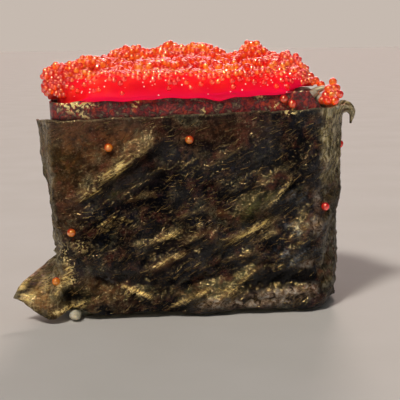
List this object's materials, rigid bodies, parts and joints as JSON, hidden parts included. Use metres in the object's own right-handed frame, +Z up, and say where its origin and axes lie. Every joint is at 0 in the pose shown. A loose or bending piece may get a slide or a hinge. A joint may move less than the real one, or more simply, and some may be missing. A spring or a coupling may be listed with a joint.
{
  "type": "gunkan sushi",
  "caption": "Boat-shaped sushi: a block of pressed rice wound in a strip of nori, with a heap of flying fish roe on top.",
  "frame": {"origin": "middle of the rice's flat foot, on the surface that the sushi stands on", "axes": "+X along the long side, to the right when the front is faced; +Z up; the front, with the outer ply of nori and its free end, faces -Y"},
  "size_m": [0.0593, 0.0297, 0.0463],
  "materials": {
    "nori": "damp, semi-gloss",
    "rice": "moist, slightly translucent",
    "roe": "wet gloss"
  },
  "bodies": {
    "root": {"nori": "nori", "rice": "rice", "roe": "roe"}
  },
  "joints": []
}
